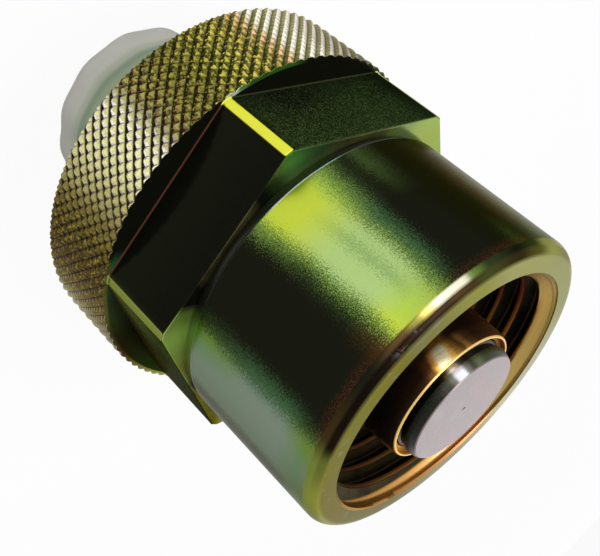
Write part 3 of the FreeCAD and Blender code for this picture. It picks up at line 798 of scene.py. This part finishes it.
def thread_plating_with_painted_light():
    """Near black inside the nut as painted shade; a gold lead-in, lighter and darker round the turn as painted
    light and shade; orange-red painted highlights on the thread's crests.
    """
    finish = Finish("thread_plating_with_painted_light", Metallic=0.8, Specular_Tint=edge_tint)
    place, x, y, z = finish.coordinates()
    radius = from_axis(x, y)
    azimuth = around(x, y)
    cloud = finish.noise(place, 240.0, 4.0)
    grain = finish.noise(place, 3000.0, 2.0)
    # Painted shade: the thread is kept near black inside the nut.
    deep = finish.ramp(cloud, [(0.34, (26, 20, 12)), (0.52, (48, 38, 20)), (0.66, (34, 44, 22))])
    # Orange-red painted highlights on the crests, by azimuth.
    crest_highlight = all_round(finish, azimuth, [
        (-90, (206, 150, 70)), (-50, (226, 110, 80)), (-20, (230, 160, 86)), (20, (130, 80, 50)),
        (100, (84, 80, 40)), (125, (130, 124, 60)), (150, (140, 92, 48)), (190, (160, 110, 60)),
        (230, (226, 170, 96)),
    ])
    crest = 1 - radius.between((thread_minor_r + 0.01) * mm, (thread_minor_r + 0.06) * mm)
    tint = finish.mix(crest, deep, crest_highlight)
    # Painted light and shade on the gold lead-in, by azimuth.
    lead_light_and_shade = all_round(finish, azimuth, [
        (-120, (164, 140, 78)), (-60, (150, 122, 60)), (-10, (134, 102, 48)), (60, umber),
        (110, (120, 90, 42)), (150, (174, 130, 64)), (190, (196, 146, 80)), (225, (216, 156, 104)),
    ])
    lead = z.between((rim_z - 1.75) * mm, (rim_z - 1.55) * mm)
    line = 1 - (z - (rim_z - 0.5) * mm).math("ABSOLUTE").between(0.05 * mm, 0.12 * mm)
    tint = finish.mix(lead * (1 - line * 0.4), tint, lead_light_and_shade)
    finish.set("Base Color", tint)
    turning = (z * 24000.0).math("SINE")
    finish.set("Roughness", 0.25 + grain * 0.25)
    finish.bump(grain + turning * 0.4, 0.12)
    return finish


skirt_outline = [
    (thread_major_r, rim_z),
    (skirt_r - rim_round, rim_z),
    *arc(skirt_r - rim_round, rim_z - rim_round, rim_round, 90, 0, 12)[1:],
    (skirt_r, skirt_rear_z + 0.3),
    (skirt_r - 0.3, skirt_rear_z),
    (step_r, skirt_rear_z),
    (step_r, hex_front_z - 0.2),
]
bore_outline = [
    (knurl_r - 0.5, nut_rear_z),
    (flange_bore_r + 0.3, nut_rear_z),
    (flange_bore_r, nut_rear_z + 0.3),
    (flange_bore_r, flange_front_z),
    (nut_bore_r, flange_front_z),
    (nut_bore_r, relief_rear_z),
    (relief_r, relief_rear_z),
    (relief_r, relief_front_z),
    (thread_major_r, relief_front_z),
]
nut_skirt = lathe("nut_skirt", skirt_outline, skirt_plating_with_painted_light(), steps=360, closed=False)
nut_bore = lathe("nut_bore", bore_outline, plating, closed=False)
nut_thread = thread("nut_thread", relief_front_z, rim_z, thread_minor_r, thread_major_r, thread_pitch,
                    thread_plating_with_painted_light(), lead_high=thread_major_r - thread_minor_r)


def hexagon_plating_with_painted_light():
    """Glossy flats, dark as painted reflection and shade, with moss speckle; painted highlights on the turned
    corners; a cloudy green front face with painted light and shade round the turn.
    """
    finish = Finish("hexagon_plating_with_painted_light", Specular_IOR_Level=0.0, Specular_Tint=dark_edge_tint)
    place, x, y, z = finish.coordinates()
    radius = from_axis(x, y)
    azimuth = around(x, y)
    grain = finish.noise(place, 6500.0, 2.0, 0.7)
    cloud = finish.noise(place, 110.0, 3.0)
    # The flats round the turn: painted reflection and painted shade.
    flat_tint = all_round(finish, azimuth, [
        (-90, moss), (-62, night), (-32, teal), (-28, (24, 34, 18)), (-8, (36, 52, 25)),
        (12, (20, 25, 14)), (27, (32, 42, 22)), (31, night), (88, night), (91, (92, 94, 50)),
        (100, (86, 90, 46)), (110, (64, 62, 34)), (120, umber), (146, umber), (154, leaf), (180, night),
        (240, olive),
    ])
    forward = (z + cloud * 0.006).between((ring_front_z + 6) * mm, (hex_front_z + 1) * mm)
    # Towards the front, a lighter painted reflection from -28 to 26 degrees.
    front_flat_light_and_shade = all_round(finish, azimuth, [
        (-28, (44, 58, 32)), (26, (44, 58, 32)), (31, (17, 18, 12)), (180, (17, 18, 12)),
    ])
    flat_tint = finish.mix(forward * 0.75, flat_tint, front_flat_light_and_shade)
    # The speckle is grain; its colours follow the painted light round the turn.
    fleck_tint = all_round(finish, azimuth, [
        (-28, moss), (-20, (96, 110, 74)), (26, (96, 110, 74)), (31, night), (88, night), (92, leaf),
    ])
    flat_tint = finish.mix(grain.between(0.5, 0.62) * 0.6, flat_tint, fleck_tint)
    junction = 1 - z.between((ring_front_z + 0.16) * mm, (ring_front_z + 0.26) * mm)
    seam_tint = all_round(finish, azimuth, [
        (-28, (50, 50, 30)), (28, (50, 50, 30)), (32, (84, 50, 36)), (90, (84, 50, 36)), (150, umber),
    ])
    flat_tint = finish.mix(junction * 0.8, flat_tint, seam_tint)
    # Painted highlight along the turned corners.
    corner_light_and_shade = all_round(finish, azimuth, [
        (-150, straw), (-90, olive), (-30, (206, 214, 160)), (30, (226, 228, 70)), (90, (132, 142, 72)),
        (150, straw),
    ])
    on_corner = radius.between((nut_corner_r - 0.1) * mm, (nut_corner_r - 0.04) * mm)
    # Front face: painted light and shade round the turn, near black from 41 to 80 degrees.
    front_tint = all_round(finish, azimuth, [
        (-140, olive), (-70, leaf), (-36, (142, 162, 92)), (-24, (140, 160, 94)), (-17, (116, 142, 94)),
        (-11, (116, 134, 70)), (-5, moss), (12, (34, 42, 24)), (20, (56, 84, 46)), (30, (76, 118, 62)),
        (37, moss), (41, night), (80, night), (84, (116, 140, 66)), (92, (158, 196, 92)),
        (101, (152, 174, 86)), (108, (150, 152, 76)), (115, (150, 164, 104)), (121, (84, 88, 64)),
        (127, (36, 36, 21)), (133, (20, 18, 12)), (146, (20, 18, 12)), (156, olive),
    ])
    on_front = z.between((hex_front_z - 0.12) * mm, (hex_front_z - 0.04) * mm)
    tint = finish.mix(on_corner, flat_tint, corner_light_and_shade)
    front_tint = finish.mix(cloud.between(0.4, 0.7) * 0.5, front_tint, olive)
    finish.set("Base Color", finish.mix(on_front, tint, front_tint))
    dull_flat = share_round(finish, azimuth, [(89, 0.0), (91, 1.0), (146, 1.0), (151, 0.0)])
    finish.set("Metallic", 0.6 - dull_flat * (1 - on_corner) * (1 - on_front) * 0.55)
    finish.set("Roughness", 0.1 + grain * 0.14)
    finish.bump(grain, 0.05)
    return finish


nut_hexagon = hexagon("nut_hexagon", nut_flats, nut_corner_r, ring_front_z, hex_front_z,
                      inner=step_r - 0.4, edge=0.2, foot=-0.15, finish=hexagon_plating_with_painted_light())

knurl_depth = 0.38
knurl_count = 94
knurl_edge = 0.15
knurl_half_pitch = pi * (knurl_r - knurl_depth) / knurl_count
knurl_first_z = nut_rear_z - knurl_half_pitch / 2
knurl_rows = int((ring_front_z - nut_rear_z) / knurl_half_pitch) + 3


def ring_edge_light_and_shade(finish, azimuth):
    """Edge round the ring's front, green and olive, with a painted highlight near 27 degrees, lost in painted
    shade in between.
    """
    return all_round(finish, azimuth, [
        (-120, olive), (-60, leaf), (-20, night), (2, night), (8, (64, 110, 46)), (21, (64, 104, 46)),
        (25.5, (130, 170, 110)), (27, (236, 250, 226)), (29, (200, 220, 180)), (31, night), (82, night),
        (86, (92, 104, 44)), (100, (84, 82, 38)), (112, (50, 46, 26)), (122, umber), (150, olive),
    ])


def knurl_plating_with_painted_light():
    """Chromate on blunt pyramids: each of a tooth's four flanks has its own painted light and shade."""
    finish = Finish("knurl_plating_with_painted_light", Metallic=0.6, Specular_IOR_Level=0.1, Specular_Tint=dark_edge_tint)
    place, x, y, z = finish.coordinates()
    radius = from_axis(x, y)
    azimuth = around(x, y)
    grain = finish.noise(place, 2800.0, 2.0)
    specks = finish.noise(place, 2400.0, 3.0, 0.6)
    column = azimuth * float(knurl_count)
    row = (z - knurl_first_z * mm) / (2 * knurl_half_pitch * mm)
    rising = (column + row + 0.5).math("FRACT") - 0.5
    falling = (column - row + 0.5).math("FRACT") - 0.5
    front = (rising - falling).between(-0.05, 0.05)
    onward = (rising + falling).between(-0.05, 0.05)
    groove = falling.between(0.03, 0.1)
    shade = ((1 - front) * onward).math("MAXIMUM", groove)
    # Painted light on each flank: lit, half lit and shaded colours round the turn.
    painted_lit_flank = all_round(finish, azimuth, [
        (-150, olive), (-60, straw), (-22, (206, 184, 168)), (-14, (248, 238, 230)),
        (2, (255, 252, 240)), (7, (226, 180, 140)), (12, (142, 132, 62)), (24, (142, 136, 56)),
        (36, (124, 108, 56)), (44, (126, 98, 62)), (51, (255, 248, 236)), (62, (232, 224, 196)),
        (70, (196, 188, 148)), (76, (150, 136, 88)), (84, (100, 82, 44)), (98, (116, 94, 54)),
        (108, (180, 166, 120)), (120, (230, 222, 196)), (135, (190, 180, 140)), (170, olive),
    ])
    painted_half_lit_flank = all_round(finish, azimuth, [
        (-150, olive), (-60, straw), (-20, (204, 194, 164)), (-8, (236, 226, 200)), (2, (244, 238, 210)),
        (9, (140, 124, 62)), (24, (104, 104, 42)), (36, (132, 132, 64)), (44, (158, 156, 96)),
        (52, (200, 196, 140)), (62, (172, 168, 114)), (72, (142, 134, 84)), (78, (108, 96, 46)),
        (92, (84, 66, 30)), (104, (112, 96, 50)), (120, (190, 182, 140)), (135, (170, 160, 110)),
        (170, olive),
    ])
    painted_shaded_flank = all_round(finish, azimuth, [
        (-150, umber), (-60, umber), (-20, (150, 144, 96)), (-6, (164, 160, 116)), (4, (120, 120, 70)),
        (14, (50, 54, 22)), (30, (36, 34, 14)), (44, (40, 26, 16)), (58, (14, 11, 7)), (74, (18, 13, 8)),
        (92, (40, 22, 10)), (110, (70, 54, 28)), (125, (84, 72, 42)), (170, umber),
    ])
    tint = finish.mix(front * (1 - onward), painted_lit_flank, painted_half_lit_flank)
    tint = finish.mix(shade, tint, painted_shaded_flank)
    rough_patch = share_round(finish, azimuth, [
        (-20, 0.15), (4, 0.3), (14, 0.9), (38, 0.9), (54, 0.2), (72, 0.2), (86, 0.6), (120, 0.3),
    ])
    tint = finish.mix(specks.between(0.56, 0.62) * rough_patch, tint, (172, 156, 62))
    tint = finish.mix((1 - specks.between(0.4, 0.47)) * rough_patch, tint, (38, 42, 16))
    # Painted shade in the groove bottoms.
    valley_shade = 1 - radius.between((knurl_r - knurl_depth + 0.02) * mm, (knurl_r - knurl_depth + 0.1) * mm)
    tint = finish.mix(valley_shade * 0.6, tint, (44, 42, 20))
    # Darker towards the ring's front on some stretches round the turn.
    darker_share = share_round(finish, azimuth, [
        (-40, 0.3), (-22, 0.6), (-10, 0.45), (-3, 0.0), (58, 0.0), (66, 0.35), (74, 0.45), (82, 0.0), (106, 0.0),
        (112, 0.2), (120, 0.4), (130, 0.0),
    ])
    tint = finish.mix(z.between((nut_rear_z + 2) * mm, ring_front_z * mm) * darker_share, tint, (74, 66, 30))
    at_end = z.between((ring_front_z - 0.05) * mm, (ring_front_z - 0.02) * mm)
    finish.set("Base Color", finish.mix(at_end, tint, ring_edge_light_and_shade(finish, azimuth)))
    finish.set("Roughness", 0.24 + grain * 0.18)
    finish.bump(grain, 0.08)
    return finish


def ring_plating_with_painted_light():
    """Ring's front face: dark and glossy, in painted reflection and shade round the turn, with a light painted
    edge highlight on two sides.
    """
    finish = Finish("ring_plating_with_painted_light", Metallic=0.5, Specular_IOR_Level=0.0, Specular_Tint=dark_edge_tint)
    place, x, y, z = finish.coordinates()
    azimuth = around(x, y)
    radius = from_axis(x, y)
    grain = finish.noise(place, 3000.0, 2.0)
    # Painted reflection and shade round the turn; near black from -24 to 80 degrees.
    face_tint = all_round(finish, azimuth, [
        (-120, olive), (-60, moss), (-24, night), (80, night), (86, (50, 108, 66)), (100, (44, 56, 36)),
        (118, (34, 34, 21)), (150, moss),
    ])
    on_edge = radius.between((knurl_r - knurl_depth - 0.4) * mm, (knurl_r - knurl_depth - 0.3) * mm)
    finish.set("Base Color", finish.mix(on_edge, face_tint, ring_edge_light_and_shade(finish, azimuth)))
    finish.set("Roughness", 0.18 + grain * 0.14)
    finish.bump(grain, 0.05)
    return finish


def knurl_tree():
    """Geometry Nodes: one blunt pyramid per crossing of two families of 45 degree grooves."""
    tree = bpy.data.node_groups.new("diamond_knurl", "GeometryNodeTree")
    for label, kind in (("Geometry", "Geometry"), ("Radius", "Float"), ("Depth", "Float"), ("Tip", "Float"),
                        ("Half pitch", "Float"), ("Rear Z", "Float"), ("Count", "Int"), ("Rows", "Int"),
                        ("Material", "Material")):
        tree.interface.new_socket(name=label, in_out="INPUT", socket_type="NodeSocket" + kind)
    tree.interface.new_socket(name="Geometry", in_out="OUTPUT", socket_type="NodeSocketGeometry")
    nodes = Nodes(tree)
    radius = nodes.add("NodeGroupInput", output="Radius")
    depth, half_pitch, count = (radius.sibling(label) for label in ("Depth", "Half pitch", "Count"))
    index = nodes.add("GeometryNodeInputIndex")
    row = (index / count).math("FLOOR")
    column = index.math("MODULO", count)
    angle = (column + row.math("MODULO", 2.0) * 0.5) / count * (2 * pi)
    foot = radius - depth
    place = nodes.add("ShaderNodeCombineXYZ", inputs={
        "X": foot * angle.math("COSINE"),
        "Y": foot * angle.math("SINE"),
        "Z": radius.sibling("Rear Z") + row * half_pitch,
    })
    points = nodes.add("GeometryNodePoints",
                       inputs={"Count": radius.sibling("Rows") * count, "Position": place})
    pyramid = nodes.add("GeometryNodeMeshCone", {"fill_type": "NGON"}, {
        "Vertices": 4,
        "Radius Top": radius.sibling("Tip"),
        "Radius Bottom": half_pitch,
        "Depth": depth,
    }, output="Mesh")
    open_pyramid = nodes.add("GeometryNodeDeleteGeometry", {"domain": "FACE"},
                             {"Geometry": pyramid, "Selection": pyramid.sibling("Bottom")})
    outward = nodes.add("ShaderNodeCombineXYZ", inputs={"Y": pi / 2, "Z": angle})
    facing = nodes.add("FunctionNodeEulerToRotation", inputs={"Euler": outward})
    spread = nodes.add("GeometryNodeInstanceOnPoints",
                       inputs={"Points": points, "Instance": open_pyramid, "Rotation": facing})
    real = nodes.add("GeometryNodeRealizeInstances", inputs={"Geometry": spread})
    joined = nodes.add("GeometryNodeMergeByDistance", inputs={"Geometry": real, "Distance": 0.04 * mm})
    painted = nodes.add("GeometryNodeSetMaterial",
                        inputs={"Geometry": joined, "Material": radius.sibling("Material")})
    result = tree.nodes.new("NodeGroupOutput")
    tree.links.new(painted.socket, result.inputs["Geometry"])
    return tree


def grow(name, tree, values):
    """Run a Geometry Nodes tree once and keep its result as a plain mesh object."""
    seed = bpy.data.objects.new(name, bpy.data.meshes.new(name))
    bpy.context.scene.collection.objects.link(seed)
    modifier = seed.modifiers.new(name, "NODES")
    modifier.node_group = tree
    for item in tree.interface.items_tree:
        if item.in_out == "INPUT" and item.name in values:
            modifier[item.identifier] = values[item.name]
    bpy.context.view_layer.update()
    evaluated = seed.evaluated_get(bpy.context.evaluated_depsgraph_get())
    mesh = bpy.data.meshes.new_from_object(evaluated)
    seed.modifiers.remove(modifier)
    seed.data = mesh
    return seed


nut_knurl = grow("nut_knurl", knurl_tree(), {
    "Radius": knurl_r * mm,
    "Depth": knurl_depth * mm,
    "Half pitch": knurl_half_pitch * mm,
    "Tip": 0.1 * mm,
    "Rear Z": knurl_first_z * mm,
    "Count": knurl_count,
    "Rows": knurl_rows,
    "Material": knurl_plating_with_painted_light().material,
})


def trim_knurl(piece, low, high, edge):
    """Cut the knurl at the ring's two faces, turn its ends down by 45 degrees and close them inwards."""
    build = bmesh.new()
    build.from_mesh(piece.data)
    for up, side in ((low, -1), (high, 1)):
        everything = build.verts[:] + build.edges[:] + build.faces[:]
        bmesh.ops.bisect_plane(build, geom=everything, plane_co=(0, 0, up * mm), plane_no=(0, 0, side),
                               clear_outer=True)
        everything = build.verts[:] + build.edges[:] + build.faces[:]
        bmesh.ops.bisect_plane(build, geom=everything, plane_co=(0, 0, (up - side * edge) * mm),
                               plane_no=(0, 0, side))
    slack = 0.01

    def inner(line):
        middle = sum(end.co.z for end in line.verts) / 2 / mm
        return low + edge - slack < middle < high - edge + slack

    near_end = [line for line in build.edges if not inner(line)]
    bmesh.ops.subdivide_edges(build, edges=near_end, cuts=2, use_grid_fill=True)
    for vert in build.verts:
        from_end = min(vert.co.z / mm - low, high - vert.co.z / mm)
        limit = (knurl_r - edge + from_end) * mm
        radius = hypot(vert.co.x, vert.co.y)
        if from_end < edge and radius > limit:
            vert.co.x *= limit / radius
            vert.co.y *= limit / radius
    for up in (low, high):
        border = [line for line in build.edges
                  if line.is_boundary and all(abs(end.co.z / mm - up) < 0.001 for end in line.verts)]
        inward = bmesh.ops.extrude_edge_only(build, edges=border)["geom"]
        for vert in inward:
            if isinstance(vert, bmesh.types.BMVert):
                shrink = (knurl_r - knurl_depth - 0.3) * mm / hypot(vert.co.x, vert.co.y)
                vert.co.x *= shrink
                vert.co.y *= shrink
    bmesh.ops.recalc_face_normals(build, faces=build.faces)
    build.to_mesh(piece.data)
    build.free()


trim_knurl(nut_knurl, nut_rear_z, ring_front_z, knurl_edge)
ring_face = lathe("nut_ring_face", [
    (knurl_r - knurl_depth - 0.1, ring_front_z + 0.01),
    (step_r, ring_front_z + 0.01),
], ring_plating_with_painted_light(), closed=False)
for piece in (nut_skirt, nut_bore, nut_thread, nut_hexagon, nut_knurl, ring_face):
    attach(piece, "nut")
    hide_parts("union_nut")

# Dust cap: one moulding of translucent white polyethylene, pushed over the port's thread.
# It is thin and a little out of round; where the metal behind would show through, a darker arc is painted into
# its colour.
cap_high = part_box("dust_cap")[1]
cap_r = cap_high.x / mm
cap_edge_z = cap_high.z / mm
cap_bore_r = 13.05
cap_floor_z = 1.9
cap_outline = [
    (0, 0),
    (cap_r - 1.2, 0),
    *arc(cap_r - 1.2, 1.2, 1.2, -90, 0)[1:],
    (cap_r, cap_edge_z - 0.35),
    *arc(cap_r - 0.35, cap_edge_z - 0.35, 0.35, 0, 90, 4)[1:],
    (cap_bore_r + 0.3, cap_edge_z),
    (cap_bore_r, cap_edge_z - 0.3),
    (cap_bore_r, cap_floor_z + 0.5),
    (cap_bore_r - 0.5, cap_floor_z),
    (0, cap_floor_z),
]


def translucent_plastic():
    """Milky grey, with the metal behind painted in as a darker, greener band up the side; a little light comes
    through, and the edges look thicker.
    """
    finish = Finish("translucent_plastic", IOR=1.4, Transmission_Weight=0.15, Specular_IOR_Level=0.3,
                    Subsurface_Weight=0.3, Subsurface_Radius=(1, 1, 1), Subsurface_Scale=0.004)
    place, x, y, z = finish.coordinates()
    cloud = finish.noise(place, 140.0, 3.0)
    scuff = finish.noise(place, 1500.0, 3.0)
    milk = finish.ramp(cloud, [(0.3, (206, 206, 197)), (0.7, (214, 214, 206))])
    # Painted darker, greener band up the side, where the metal behind would show through.
    painted_metal_behind = finish.ramp(z.between(3.5 * mm, 9.5 * mm), [
        (0, (255, 255, 255)), (0.2, (232, 240, 226)), (0.38, (176, 198, 180)),
        (0.55, (200, 218, 188)), (1, (170, 184, 160)),
    ])
    finish.set("Base Color", finish.mix(1.0, milk, painted_metal_behind, "MULTIPLY"))
    finish.set("Roughness", 0.45 + scuff * 0.16)
    finish.bump(cloud * 2.0 + scuff * 0.3, 0.2, 0.05 * mm)
    return finish


dust_cap = lathe("dust_cap_moulding", cap_outline, translucent_plastic())


def knead(piece, toward, swell, lobe_count, lobe_depth):
    """Push the closed end out of round: a bulge to one side and a few shallow lobes."""
    lobe_turn = radians(10)
    still_above, free_below = 11.0, 5.0
    for vert in piece.data.vertices:
        on_wall = hypot(vert.co.x, vert.co.y) > (cap_bore_r + 0.4) * mm
        if on_wall or vert.co.z < (cap_floor_z - 0.6) * mm:
            off = atan2(vert.co.y, vert.co.x) - radians(toward)
            bulge = max(0.0, 2 * swell * cos(off) - swell)
            push = bulge + lobe_depth * cos(lobe_count * (off + lobe_turn))
            fade = min(max((still_above - vert.co.z / mm) / (still_above - free_below), 0), 1)
            vert.co.x *= 1 + push * fade
            vert.co.y *= 1 + push * fade


knead(dust_cap, toward=30, swell=0.056, lobe_count=13, lobe_depth=0.009)
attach(dust_cap, "cap")
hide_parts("dust_cap")

# The shot: a pale floor without an edge in view, soft lamps, a short tele lens rolled on its side.
white = 1.0
paper_share = 0.94
air_light = 0.2


def floor_paper():
    """Matt white paper; seen by the camera, in metal or through plastic it is white but for the shadow."""
    finish = Finish("floor_paper", Base_Color=(0.88, 0.88, 0.88, 1), Roughness=0.9, Specular_IOR_Level=0.1)
    lit_paper = Signal(finish.tree, finish.shader.outputs["BSDF"])
    blank_paper = finish.add("ShaderNodeEmission", inputs={"Strength": white})
    finish.surface(finish.add("ShaderNodeMixShader",
                              inputs={0: finish.seen() * paper_share, 1: lit_paper, 2: blank_paper}))
    return finish


mesh = bpy.data.meshes.new("floor")
reach = 4.0
corners = [(-reach, -reach, 0), (reach, -reach, 0), (reach, reach, 0), (-reach, reach, 0)]
mesh.from_pydata(corners, [], [(0, 1, 2, 3)])
mesh.materials.append(floor_paper().material)
floor = bpy.data.objects.new("floor", mesh)
bpy.context.scene.collection.objects.link(floor)

aim = Vector((-4.28, 4.35, 49.25)) * mm


def lamp(name, toward, distance, wide, high, power):
    """A softbox, out of the camera's sight, that looks at the nut from a direction."""
    light = bpy.data.lights.new(name, "AREA")
    light.shape = "RECTANGLE"
    light.size = wide
    light.size_y = high
    light.energy = power
    box = bpy.data.objects.new(name, light)
    direction = Vector(toward).normalized()
    box.location = aim + direction * distance
    box.rotation_euler = direction.to_track_quat("Z", "Y").to_euler()
    box.visible_camera = False
    bpy.context.scene.collection.objects.link(box)


lamp("key", toward=(0.42, 0.04, 0.91), distance=0.6, wide=0.3, high=0.3, power=2.4)
lamp("side", toward=(0.9, 0.75, 0.45), distance=0.7, wide=0.4, high=0.4, power=1.2)
lamp("low", toward=(0.85, 0.52, 0.1), distance=0.6, wide=0.34, high=0.1, power=0.4)
lamp("card", toward=(-0.64, -0.63, 0.44), distance=0.8, wide=0.9, high=0.9, power=2.1)

world = bpy.data.worlds.new("studio")
world.use_nodes = True
studio = Nodes(world.node_tree)
dim_air = studio.add("ShaderNodeBackground", inputs={"Color": (1, 1, 1, 1), "Strength": air_light})
white_air = studio.add("ShaderNodeBackground", inputs={"Color": (1, 1, 1, 1), "Strength": white})
studio.surface(studio.add("ShaderNodeMixShader", inputs={0: studio.seen(), 1: dim_air, 2: white_air}))
bpy.context.scene.world = world

right = Vector((0.2559, -0.7154, 0.6502))
down = Vector((-0.7247, 0.3031, 0.6188))
forward = Vector((-0.6398, -0.6296, -0.4409))
eye = Vector((71.85, 79.25, 101.7)) * mm
lens = bpy.data.cameras.new("camera")
lens.lens = 53.505
lens.sensor_width = 36
lens.shift_x = -0.0228
lens.shift_y = 0.0938
lens.clip_start = 0.005
camera = bpy.data.objects.new("camera", lens)
camera.matrix_world = Matrix((
    (right.x, -down.x, -forward.x, eye.x),
    (right.y, -down.y, -forward.y, eye.y),
    (right.z, -down.z, -forward.z, eye.z),
    (0, 0, 0, 1),
))
bpy.context.scene.collection.objects.link(camera)
bpy.context.scene.camera = camera
bpy.context.scene.view_settings.view_transform = "Standard"
